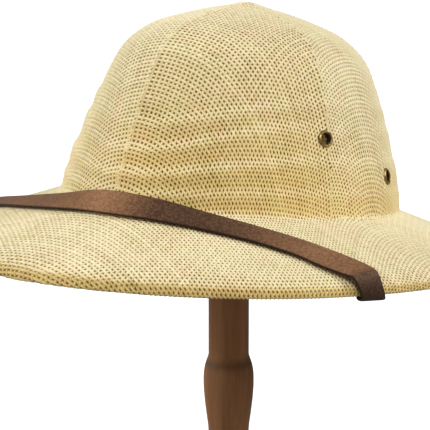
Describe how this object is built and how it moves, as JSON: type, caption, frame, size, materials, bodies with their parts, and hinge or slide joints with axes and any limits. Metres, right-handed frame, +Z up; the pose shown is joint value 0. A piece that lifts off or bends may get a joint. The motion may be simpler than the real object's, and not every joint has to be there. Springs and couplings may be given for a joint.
{
  "type": "pith helmet on a turned wooden stand",
  "caption": "Open-weave straw pith helmet with pressed ribs, brass eyelets and a leather chin strap over the brim, tipped back on a turned dark wood stand.",
  "frame": {"origin": "middle of the underside of the stand's round base", "axes": "+Z up along the stand's post; the wearer's front is -Y and the wearer's left is +X"},
  "size_m": [0.2973, 0.3301, 0.3381],
  "materials": {
    "straw": "matt open-weave paper straw",
    "leather": "satin fine-grained brown leather",
    "brass": "antique brass",
    "wood": "satin dark stain"
  },
  "bodies": {
    "root": {"straw_shell": "straw", "chin_strap": "leather", "eyelet_front_left": "brass", "eyelet_front_right": "brass", "eyelet_rear_left": "brass", "eyelet_rear_right": "brass", "stand_cap": "wood", "stand_post": "wood", "stand_base": "wood"}
  },
  "joints": []
}
